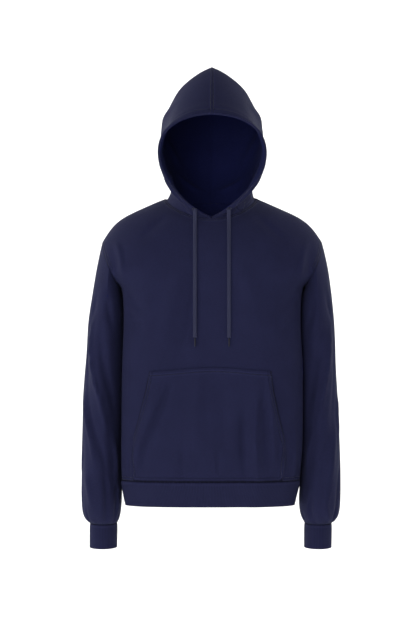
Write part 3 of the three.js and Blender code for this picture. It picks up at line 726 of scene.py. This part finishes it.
# Places on half the hood: the turn from straight ahead and the rise above level, seen from its middle
HOOD_CREASES = {
    "left": [
        ([(52, -44), (76, -38), (100, -34)], 8, -2.4),
        ([(60, -58), (88, -52), (116, -50)], 7, -2.2),
        ([(104, 18), (124, 2), (142, -16)], 13, -2.2),
        ([(64, 40), (92, 30), (118, 12)], 13, 1.8),
        ([(128, -36), (148, -46), (168, -50)], 9, -2.6),
        ([(58, 4), (72, -10), (90, -18)], 11, 1.6),
    ],
    "right": [
        ([(50, -42), (74, -38), (102, -36)], 8, -2.2),
        ([(62, -57), (92, -53), (118, -49)], 7, -2.4),
        ([(108, 14), (126, -2), (140, -22)], 13, -2.0),
        ([(60, 44), (88, 32), (112, 16)], 13, 1.6),
        ([(126, -34), (146, -46), (166, -52)], 9, -2.4),
        ([(56, 8), (70, -8), (86, -20)], 11, 1.6),
    ],
}

# Gathers above a ribbed band: where each is round it, how far it runs up, and how deep it is
SLEEVE_GATHERS = [
    (8, 34, 1.6),
    (31, 22, 1.2),
    (58, 40, 1.9),
    (79, 20, 1.1),
    (101, 30, 1.7),
    (139, 26, 1.5),
    (163, 36, 1.6),
    (196, 24, 1.3),
    (224, 38, 1.8),
    (251, 21, 1.2),
    (276, 33, 1.7),
    (309, 25, 1.4),
    (334, 30, 1.5),
]


def outermost(tree, start, direction, reach=0.5):
    """The last surface met on the way out from a place inside, found by looking back in."""
    hit = tree.ray_cast(start + direction * reach, -direction, reach)
    return hit[0] if hit[0] is not None else start


def curve_through(points, count=28):
    """Places spread along a smooth line through a few points."""
    spline = [points[0] * 2 - points[1], *points, points[-1] * 2 - points[-2]]
    line = []
    for k in range(count):
        t = k / (count - 1) * (len(points) - 1)
        i = min(int(t), len(points) - 2)
        f = t - i
        p0, p1, p2, p3 = spline[i : i + 4]
        line.append(
            0.5
            * (
                2 * p1
                + (p2 - p0) * f
                + (2 * p0 - 5 * p1 + 4 * p2 - p3) * f * f
                + (3 * p1 - p0 - 3 * p2 + p3) * f * f * f
            )
        )
    return line


def trunk_fold(tree, face, places):
    ahead = -1 if face == "front" else 1
    middle = [Vector((x * MM, 0, z * MM)) for x, z in places]
    out = Vector((0, ahead, 0))
    line = [outermost(tree, p, out) for p in curve_through(middle)]
    return line, [out] * len(line)


def sleeve_out(side, turn):
    angle = math.radians(turn)
    return Vector((SIDES[side] * math.cos(angle), -math.sin(angle), 0))


def sleeve_fold(tree, side, places):
    turns = curve_through([Vector((turn, z, 0)) for turn, z in places])
    line, outs = [], []
    for turn, z, _ in turns:
        axis = Vector((SIDES[side] * SLEEVE_AXIS.x, SLEEVE_AXIS.y, z * MM))
        out = sleeve_out(side, turn)
        line.append(outermost(tree, axis, out, 0.13))
        outs.append(out)
    return line, outs


def hood_fold(tree, side, places):
    turns = curve_through([Vector((turn, rise, 0)) for turn, rise in places])
    line, outs = [], []
    for turn, rise, _ in turns:
        turn, rise = math.radians(turn), math.radians(rise)
        flat = math.cos(rise)
        out = Vector((SIDES[side] * math.sin(turn) * flat, -math.cos(turn) * flat, math.sin(rise)))
        line.append(outermost(tree, HOOD_MIDDLE, out, 0.4))
        outs.append(out)
    return line, outs


def coordinates(mesh):
    flat = np.empty(len(mesh.vertices) * 3)
    mesh.vertices.foreach_get("co", flat)
    return flat.reshape(-1, 3)


def press_fold(pieces, line, outs, width, height):
    """Raises or sinks the cloth along a line, most at its middle and fading out at both ends."""
    places = np.array([tuple(p) for p in line])
    outs = np.array([tuple(p) for p in outs])
    share = np.linspace(0, 1, len(line))
    ends = np.sin(np.pi * np.clip(share * 0.94 + 0.03, 0, 1)) ** 0.7
    for piece in pieces:
        points = coordinates(piece.data)
        low, high = places.min(0) - 3 * width * MM, places.max(0) + 3 * width * MM
        near = np.where(((points > low) & (points < high)).all(1))[0]
        if not len(near):
            continue
        gaps = np.linalg.norm(points[near, None, :] - places[None, :, :], axis=2)
        closest = gaps.argmin(1)
        rise = FOLD_LIFT * height * MM * np.exp(-((gaps.min(1) / (width * MM)) ** 2)) * ends[closest]
        points[near] += outs[closest] * rise[:, None]
        piece.data.vertices.foreach_set("co", points.ravel())
        piece.data.update()


# Uneven gathers above the hem: x on both faces, how far each runs up, and how deep it is
HEM_GATHERS = [
    (-150, 30, 1.4),
    (-133, 18, 0.9),
    (-108, 36, 1.3),
    (-83, 20, 0.8),
    (-46, 26, 1.0),
    (-13, 16, 0.8),
    (24, 30, 1.1),
    (61, 19, 0.8),
    (92, 33, 1.3),
    (121, 22, 1.0),
    (144, 38, 1.5),
]
HEM_SEAM_Z = -611
CUFF_SEAM_Z = -708
GATHER_WIDTH = 4.5


def gather(tree, outs_of, pieces, foot, rise, depth):
    """A short trough that runs up from a band's seam."""
    line, outs = [], []
    for k in range(12):
        axis, out = outs_of(foot + rise * k / 11)
        line.append(outermost(tree, axis, out, 0.13))
        outs.append(out)
    press_fold(pieces, line, outs, GATHER_WIDTH, -depth)


def fold_cloth(dressed):
    """Presses every fold into all the smooth cloth around it, so that the seams stay closed."""
    cloth = list(dressed.values())
    tree = surface_of(*[dressed[name] for name in ("front", "back", "pocket", "hem_rib")])
    for face, folds in TRUNK_CREASES.items():
        for places, width, height in folds:
            press_fold(cloth, *trunk_fold(tree, face, places), width, height)
    for x, rise, depth in HEM_GATHERS:
        for ahead in (-1, 1):
            out = Vector((0, ahead, 0))
            gather(
                tree,
                lambda z, out=out, x=x: (Vector((x * MM, 0, z * MM)), out),
                [dressed["front" if ahead < 0 else "back"]],
                HEM_SEAM_Z,
                rise,
                depth,
            )
    for side in SIDES:
        sleeve = dressed[f"sleeve_{side}"]
        tree = surface_of(sleeve, dressed[f"cuff_{side}"])
        for places, width, height in SLEEVE_CREASES[side]:
            press_fold(cloth, *sleeve_fold(tree, side, places), width, height)
        for turn, rise, depth in SLEEVE_GATHERS:
            out = sleeve_out(side, turn)
            axis = SIDES[side] * SLEEVE_AXIS.x
            gather(
                tree,
                lambda z, out=out, axis=axis: (Vector((axis, SLEEVE_AXIS.y, z * MM)), out),
                [sleeve],
                CUFF_SEAM_Z,
                rise,
                depth,
            )
    tree = surface_of(dressed["hood_left"], dressed["hood_right"])
    for side in SIDES:
        for places, width, height in HOOD_CREASES[side]:
            press_fold(cloth, *hood_fold(tree, side, places), width, height)


# What the materials read on the cloth


def mark(piece, name, values):
    layer = piece.data.attributes.new(name, "FLOAT", "POINT")
    layer.data.foreach_set("value", values)


def distances_from(piece, lines):
    """Each point's distance from the nearest of some lines, in metres."""
    points = []
    for line in lines:
        for (a, _, _), (b, _, _) in zip(line, line[1:]):
            steps = max(1, math.ceil((b - a).length / (2 * MM)))
            points.extend(a.lerp(b, k / steps) for k in range(steps + 1))
    if not points:
        return np.full(len(piece.data.vertices), FAR_AWAY)
    tree = tree_of(points)
    return np.array([tree.find(v.co)[2] for v in piece.data.vertices])


def mark_rows(piece, node):
    """How far each point is from the twin-sewn seams, and from the single rows of hems and seams."""
    kind, _, side = node.partition("_")
    hoods = ["hood_left", "hood_right"]
    twin = seam_lines(node, [f"cuff_{side}"] if kind == "sleeve" else None)
    single = []
    if kind == "hood":
        other = "hood_right" if side == "left" else "hood_left"
        twin = []
        single = [(seam_lines(node, ()), HOOD_HEM), (seam_lines(node, [other]), HOOD_SEAM)]
    elif kind == "pocket":
        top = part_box("pocket")[1][2] - POCKET_TOP_BAND
        single = [([line for line in twin if middle_of(line).z > top], POCKET_HEM)]
        twin = [line for line in twin if middle_of(line).z < top]
    elif kind in ("front", "back"):
        neck = seam_lines(node, hoods)
        twin = [line for line in twin if middle_of(line).z < NECK_TOP_Z or abs(middle_of(line).x) > NECK_HALF]
        single = [(neck, distance) for distance in NECK_LINES]
    mark(piece, "seam", distances_from(piece, twin))
    hem = np.full(len(piece.data.vertices), FAR_AWAY)
    for lines, distance in single:
        gaps = distances_from(piece, lines) - distance
        hem = np.where(np.abs(gaps) < np.abs(hem), gaps, hem)
    mark(piece, "hem", hem)


def mark_inner(piece, node):
    """1 on the napped inner side of the cloth, which the material paints in a darker, bluer shade, 0 on its
    face.
    """
    mark(
        piece,
        "inner",
        [float(v.normal.dot(v.co - core_of(node, v.co)) < 0) for v in piece.data.vertices],
    )


def mark_band(piece, centre):
    """A map with the way round a ribbed band in whole ribs, and its height."""
    mesh = piece.data
    points = coordinates(mesh)
    turns = np.arctan2(points[:, 1] - centre[1], points[:, 0] - centre[0])
    count = 48
    sector = ((turns + math.pi) / (2 * math.pi) * count).astype(int) % count
    radii = np.linalg.norm(points[:, :2] - centre, axis=1)
    reach = np.array([radii[sector == k].mean() for k in range(count)])
    angles = (np.arange(count) + 0.5) * 2 * math.pi / count
    corners = np.stack([reach * np.cos(angles), reach * np.sin(angles)], axis=1)
    steps = np.linalg.norm(np.roll(corners, -1, axis=0) - corners, axis=1)
    length = steps.sum()
    ribs = round(length / RIB_PERIOD)
    run = np.concatenate([[0], np.cumsum(steps)]) / length * ribs * RIB_PERIOD
    around = np.interp((turns + math.pi) / (2 * math.pi) * count, np.arange(count + 1) + 0.5, run)
    whole = ribs * RIB_PERIOD
    layer = mesh.uv_layers.new(name="band")
    values = np.empty((len(mesh.loops), 2))
    for polygon in mesh.polygons:
        first = around[mesh.loops[polygon.loop_start].vertex_index]
        for i in polygon.loop_indices:
            vertex = mesh.loops[i].vertex_index
            shift = round((first - around[vertex]) / whole) * whole
            values[i] = around[vertex] + shift, points[vertex, 2]
    layer.data.foreach_set("uv", values.ravel())


# Stitches


def evenly(line, pitch):
    """Points a pitch apart along a line of points."""
    lengths = [0.0]
    for a, b in zip(line, line[1:]):
        lengths.append(lengths[-1] + (b - a).length)
    count = max(2, round(lengths[-1] / pitch))
    places, i = [], 0
    for k in range(count + 1):
        want = lengths[-1] * k / count
        while i < len(line) - 2 and lengths[i + 1] < want:
            i += 1
        step = max(1e-9, lengths[i + 1] - lengths[i])
        places.append(line[i].lerp(line[i + 1], (want - lengths[i]) / step))
    return places


def beside(line, tree, distance, trim=0.0):
    """The row on the cloth that runs at one distance from a seam, as points with the way out of the cloth."""
    points = curve_through([point for point, _, _ in line], 6 * len(line))
    inward = curve_through([way for _, way, _ in line], 6 * len(line))
    outward = curve_through([way for _, _, way in line], 6 * len(line))
    places = []
    for point, way, out in zip(points, inward, outward):
        out = out.normalized()
        start = point + way.normalized() * distance
        hit = tree.ray_cast(start + out * 12 * MM, -out, 24 * MM)
        places.append(hit[0] if hit[0] is not None else tree.find_nearest(start)[0])
    if trim:
        kept = [p for p in places if min((p - points[0]).length, (p - points[-1]).length) > trim]
        places = kept if len(kept) > 2 else places
    return places


def stitch_run(run, tree, pitch=STITCH_PITCH, length=STITCH_LENGTH):
    """One row of stitches, each a slim grain half sunk in the cloth."""
    bm = bmesh.new()
    places = evenly(run, pitch)
    for a, b in zip(places, places[1:]):
        middle = (a + b) / 2
        along = (b - a).normalized()
        near = tree.find_nearest(middle)
        up = near[1]
        side = up.cross(along).normalized()
        up = along.cross(side)
        turn = Matrix((along, side, up)).transposed().to_4x4()
        stretch = Matrix.Diagonal((length / 2, STITCH_RADIUS, STITCH_RADIUS, 1))
        place = Matrix.Translation(near[0] + up * STITCH_RADIUS * 0.3)
        upright = Matrix.Rotation(math.radians(90), 4, "Y")
        bmesh.ops.create_uvsphere(
            bm, u_segments=6, v_segments=4, radius=1, matrix=place @ turn @ stretch @ upright
        )
    return bm


def sew(name, runs, tree, material, **size):
    """Rows of stitches as one piece."""
    whole = bmesh.new()
    for run in runs:
        row = stitch_run(run, tree, **size)
        mesh = bpy.data.meshes.new("row")
        row.to_mesh(mesh)
        row.free()
        whole.from_mesh(mesh)
        bpy.data.meshes.remove(mesh)
    for face in whole.faces:
        face.smooth = True
    piece = object_from(whole, name)
    piece.data.materials.append(material)
    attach(piece, "root")
    return piece


# Drawcords


def centre_line(node, count):
    """The middle of a hanging cord at even heights, from its top down."""
    bm = merged_copy(node)
    low = min(v.co.z for v in bm.verts)
    high = max(v.co.z for v in bm.verts)
    middle = []
    for k in range(count):
        z = high + (low - high) * (0.004 + 0.992 * k / (count - 1))
        crossing = []
        for edge in bm.edges:
            a, b = (v.co for v in edge.verts)
            if (a.z - z) * (b.z - z) < 0:
                crossing.append(a.lerp(b, (z - a.z) / (b.z - a.z)))
        x = [p.x for p in crossing]
        y = [p.y for p in crossing]
        middle.append(Vector(((min(x) + max(x)) / 2, (min(y) + max(y)) / 2, z)))
    bm.free()
    return middle


def swept(path, wide, thick, corners=14):
    """A flat cord along a path; its material reads how far along and across it each point is."""
    bm = bmesh.new()
    along_layer = bm.verts.layers.float.new("along")
    across_layer = bm.verts.layers.float.new("across")
    run, before = 0.0, []
    for k, point in enumerate(path):
        if k:
            run += (point - path[k - 1]).length
        ahead = (path[min(k + 1, len(path) - 1)] - path[max(k - 1, 0)]).normalized()
        side = (Vector((1, 0, 0)) - ahead * ahead.x).normalized()
        front = ahead.cross(side)
        ring = bmesh.ops.create_circle(bm, segments=corners, radius=1)["verts"]
        for vert in ring:
            x, y, _ = vert.co
            reach = math.copysign(abs(x) ** 0.8, x) * wide / 2
            vert.co = point + side * reach + front * (y * thick / 2)
            vert[along_layer] = run
            vert[across_layer] = reach
        edges = list({edge for vert in ring for edge in vert.link_edges})
        if before:
            bmesh.ops.bridge_loops(bm, edges=before + edges)
        before = edges
    bmesh.ops.holes_fill(bm, edges=[edge for edge in bm.edges if edge.is_boundary], sides=corners)
    bmesh.ops.recalc_face_normals(bm, faces=bm.faces)
    for face in bm.faces:
        face.smooth = True
    return bm


def make_cord(side, material):
    """A braided drawcord that comes out of the hood's hem and hangs down the chest."""
    path = centre_line(f"drawcord_{side}", 48)
    inside = path[0] + Vector((0, 3.5, 1.2)) * MM
    path = [inside, *path]
    piece = object_from(swept(path, CORD_WIDE, CORD_THICK), f"braided_cord_{side}")
    piece.data.materials.append(material)
    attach(piece, "root")
    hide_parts(f"drawcord_{side}")
    return piece, path


def make_tip(side, material):
    piece = smoothed(f"cord_tip_{side}", f"bound_tip_{side}", 2)
    finish_cloth(piece, material)
    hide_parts(f"cord_tip_{side}")
    return piece


def buttonhole(side, exit_point, tree, material):
    """A small worked eyelet of thread round the place where a cord leaves the hood's hem."""
    runs = []
    count = 22
    for k in range(count):
        turn = 2 * math.pi * k / count
        way = Vector((math.cos(turn), 0, math.sin(turn)))
        near = exit_point + Vector((way.x * 4.6, 0, way.z * 2.6)) * MM
        far = exit_point + Vector((way.x * 6.6, 0, way.z * 4.4)) * MM
        runs.append([tree.find_nearest(near)[0], tree.find_nearest(far)[0]])
    return sew(f"eyelet_thread_{side}", runs, tree, material, pitch=2.4 * MM, length=2.6 * MM)


# The whole garment

# The finished pieces, the cut of each one's cloth (width, length and area) and its finish
CLOTHS = {
    "front": ("front_panel", (0.62, 0.63), 0.336, "fleece"),
    "back": ("back_panel", (0.62, 0.63), 0.333, "fleece"),
    "pocket": ("pouch_pocket", (0.34, 0.25), 0.074, "fleece"),
    "hem_rib": ("hem_band", (1.01, 0.059), None, "rib"),
    "sleeve_left": ("sleeve_panel_left", (0.42, 0.61), 0.208, "fleece"),
    "sleeve_right": ("sleeve_panel_right", (0.42, 0.61), 0.208, "fleece"),
    "cuff_left": ("cuff_band_left", (0.20, 0.0535), None, "rib"),
    "cuff_right": ("cuff_band_right", (0.20, 0.0535), None, "rib"),
    "hood_left": ("hood_half_left", (0.30, 0.38), 0.095, "fleece"),
    "hood_right": ("hood_half_right", (0.30, 0.38), 0.095, "fleece"),
}


def finish_cloth(piece, material):
    piece.data.materials.clear()
    piece.data.materials.append(material)
    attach(piece, "root")


def make_garment(fleece, rib, thread):
    dressed = {node: smoothed(node, made[0], 2) for node, made in CLOTHS.items()}
    fold_cloth(dressed)
    trees = {node: surface_of(piece) for node, piece in dressed.items()}
    for node, piece in dressed.items():
        name, cut, area, finish = CLOTHS[node]
        finish_cloth(piece, rib if finish == "rib" else fleece)
        if finish == "rib":
            low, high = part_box(node)
            mark_band(piece, np.array([(low[0] + high[0]) / 2, (low[1] + high[1]) / 2]))
            mark(piece, "seam", distances_from(piece, seam_lines(node, SEWN_NODES)))
        else:
            mark_rows(piece, node)
            mark_inner(piece, node)
        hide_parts(node)
    sew_garment(trees, thread)
    return dressed, trees


def rows_beside(node, others, trees, distances, keep=None):
    """Rows at some distances from each stretch of a node's seam with others."""
    lines = seam_lines(node, others)
    if keep:
        lines = [line for line in lines if keep(line)]
    return [beside(line, trees[node], distance) for line in lines for distance in distances]


def middle_of(line):
    return line[len(line) // 2][0]


def sew_garment(trees, thread):
    """Every row of stitching that the garment shows."""
    bodies = ("front", "back")
    hoods = ("hood_left", "hood_right")
    for node in bodies:
        sleeves = [f"sleeve_{side}" for side in SIDES]
        sew(f"armhole_stitches_{node}", rows_beside(node, sleeves, trees, TWIN_LINES), trees[node], thread)
        neck = rows_beside(node, hoods, trees, NECK_LINES)
        sew(f"neck_stitches_{node}", neck, trees[node], thread)
        hem = rows_beside(node, ["hem_rib"], trees, TWIN_LINES)
        sew(f"hem_stitches_{node}", hem, trees[node], thread)
    shoulders = rows_beside("back", ["front"], trees, TWIN_LINES, lambda line: middle_of(line).z > -0.13)
    sew("shoulder_stitches", shoulders, trees["back"], thread)
    for side in SIDES:
        hood, other = f"hood_{side}", "hood_right" if side == "left" else "hood_left"
        crown = rows_beside(hood, [other], trees, (HOOD_SEAM,))
        sew(f"hood_seam_stitches_{side}", crown, trees[hood], thread)
        rim = rows_beside(hood, (), trees, (HOOD_HEM,))
        sew(f"hood_hem_stitches_{side}", rim, trees[hood], thread)
        sleeve = f"sleeve_{side}"
        cuff = rows_beside(sleeve, [f"cuff_{side}"], trees, TWIN_LINES)
        sew(f"cuff_stitches_{side}", cuff, trees[sleeve], thread)
    sew("pocket_stitches", pocket_rows(trees["pocket"]), trees["pocket"], thread)


def pocket_rows(tree):
    """One row below the pocket's top, and twin rows down its mouths and sides."""
    low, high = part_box("pocket")
    rows = []
    for line in seam_lines("pocket", None):
        middle = middle_of(line)
        if middle.z > high[2] - POCKET_TOP_BAND:
            rows.append(beside(line, tree, POCKET_HEM))
        elif middle.z > low[2] + 10 * MM:
            rows.extend(beside(line, tree, distance) for distance in TWIN_LINES)
    return rows


# Floor, backdrop and lights


def add_stage():
    """A wide white floor that curves up behind into a white wall."""
    bm = bmesh.new()
    line = [(0, -6.0, FLOOR_Z), (0, 2.2, FLOOR_Z)]
    for k in range(1, 9):
        turn = math.radians(90 * k / 8)
        line.append((0, 2.2 + 1.2 * math.sin(turn), FLOOR_Z + 1.2 * (1 - math.cos(turn))))
    line.append((0, 3.4, 5.0))
    verts = [bm.verts.new((-8, y, z)) for _, y, z in line]
    edges = [bm.edges.new(pair) for pair in zip(verts, verts[1:])]
    made = bmesh.ops.extrude_edge_only(bm, edges=edges)["geom"]
    moved = [item for item in made if isinstance(item, bmesh.types.BMVert)]
    bmesh.ops.translate(bm, verts=moved, vec=(16, 0, 0))
    bmesh.ops.recalc_face_normals(bm, faces=bm.faces)
    for face in bm.faces:
        face.smooth = True
    piece = object_from(bm, "studio_sweep")
    material, tree, shader = new_material("studio_white", Roughness=0.9)
    speck = noise(tree, place_of(tree)[0], 3, 2.0)
    plug(tree, shader.inputs["Base Color"], mixed(tree, speck, (0.90, 0.90, 0.90, 1), (0.93, 0.93, 0.93, 1)))
    piece.data.materials.append(material)


def add_light(name, place, target, size, power):
    data = bpy.data.lights.new(name, "AREA")
    data.shape = "RECTANGLE"
    data.size, data.size_y = size
    data.energy = power
    light = bpy.data.objects.new(name, data)
    light.location = place
    light.rotation_euler = (Vector(target) - Vector(place)).to_track_quat("-Z", "Y").to_euler()
    bpy.context.collection.objects.link(light)


def add_lights():
    """Broad soft lights from both sides and above, and an even white surround."""
    world = bpy.data.worlds.new("studio")
    bpy.context.scene.world = world
    world.use_nodes = True
    surround = world.node_tree.nodes["Background"]
    surround.inputs["Color"].default_value = (1, 1, 1, 1)
    surround.inputs["Strength"].default_value = 0.12
    add_light("front_window", (-0.8, -3.6, 0.0), (0, 0, -0.4), (2.2, 2.2), 58)
    add_light("left_window", (-2.7, -1.4, -0.1), (0, 0, -0.4), (1.0, 2.4), 32)
    add_light("right_window", (2.7, -1.4, -0.2), (0, 0, -0.4), (1.0, 2.4), 16)
    add_light("top_window", (0, -0.9, 2.4), (0, 0, -0.2), (2.4, 1.4), 6)
    add_light("backdrop_wash_left", (-2.6, 1.4, 1.6), (-0.6, 3.4, -0.3), (2.0, 2.0), 110)
    add_light("backdrop_wash_right", (2.6, 1.4, 1.6), (0.6, 3.4, -0.3), (2.0, 2.0), 110)


def main():
    add_camera()
    cord = cord_material()
    tip = tip_material()
    thread = thread_material()
    cords = {side: make_cord(side, cord) for side in SIDES}
    tips = {side: make_tip(side, tip) for side in SIDES}
    dressed, trees = make_garment(fleece_material(), rib_material(), thread)
    for side, (piece, path) in cords.items():
        buttonhole(side, path[1], trees[f"hood_{side}"], thread)
    add_stage()
    add_lights()
    bpy.context.scene.view_settings.view_transform = "Standard"


main()
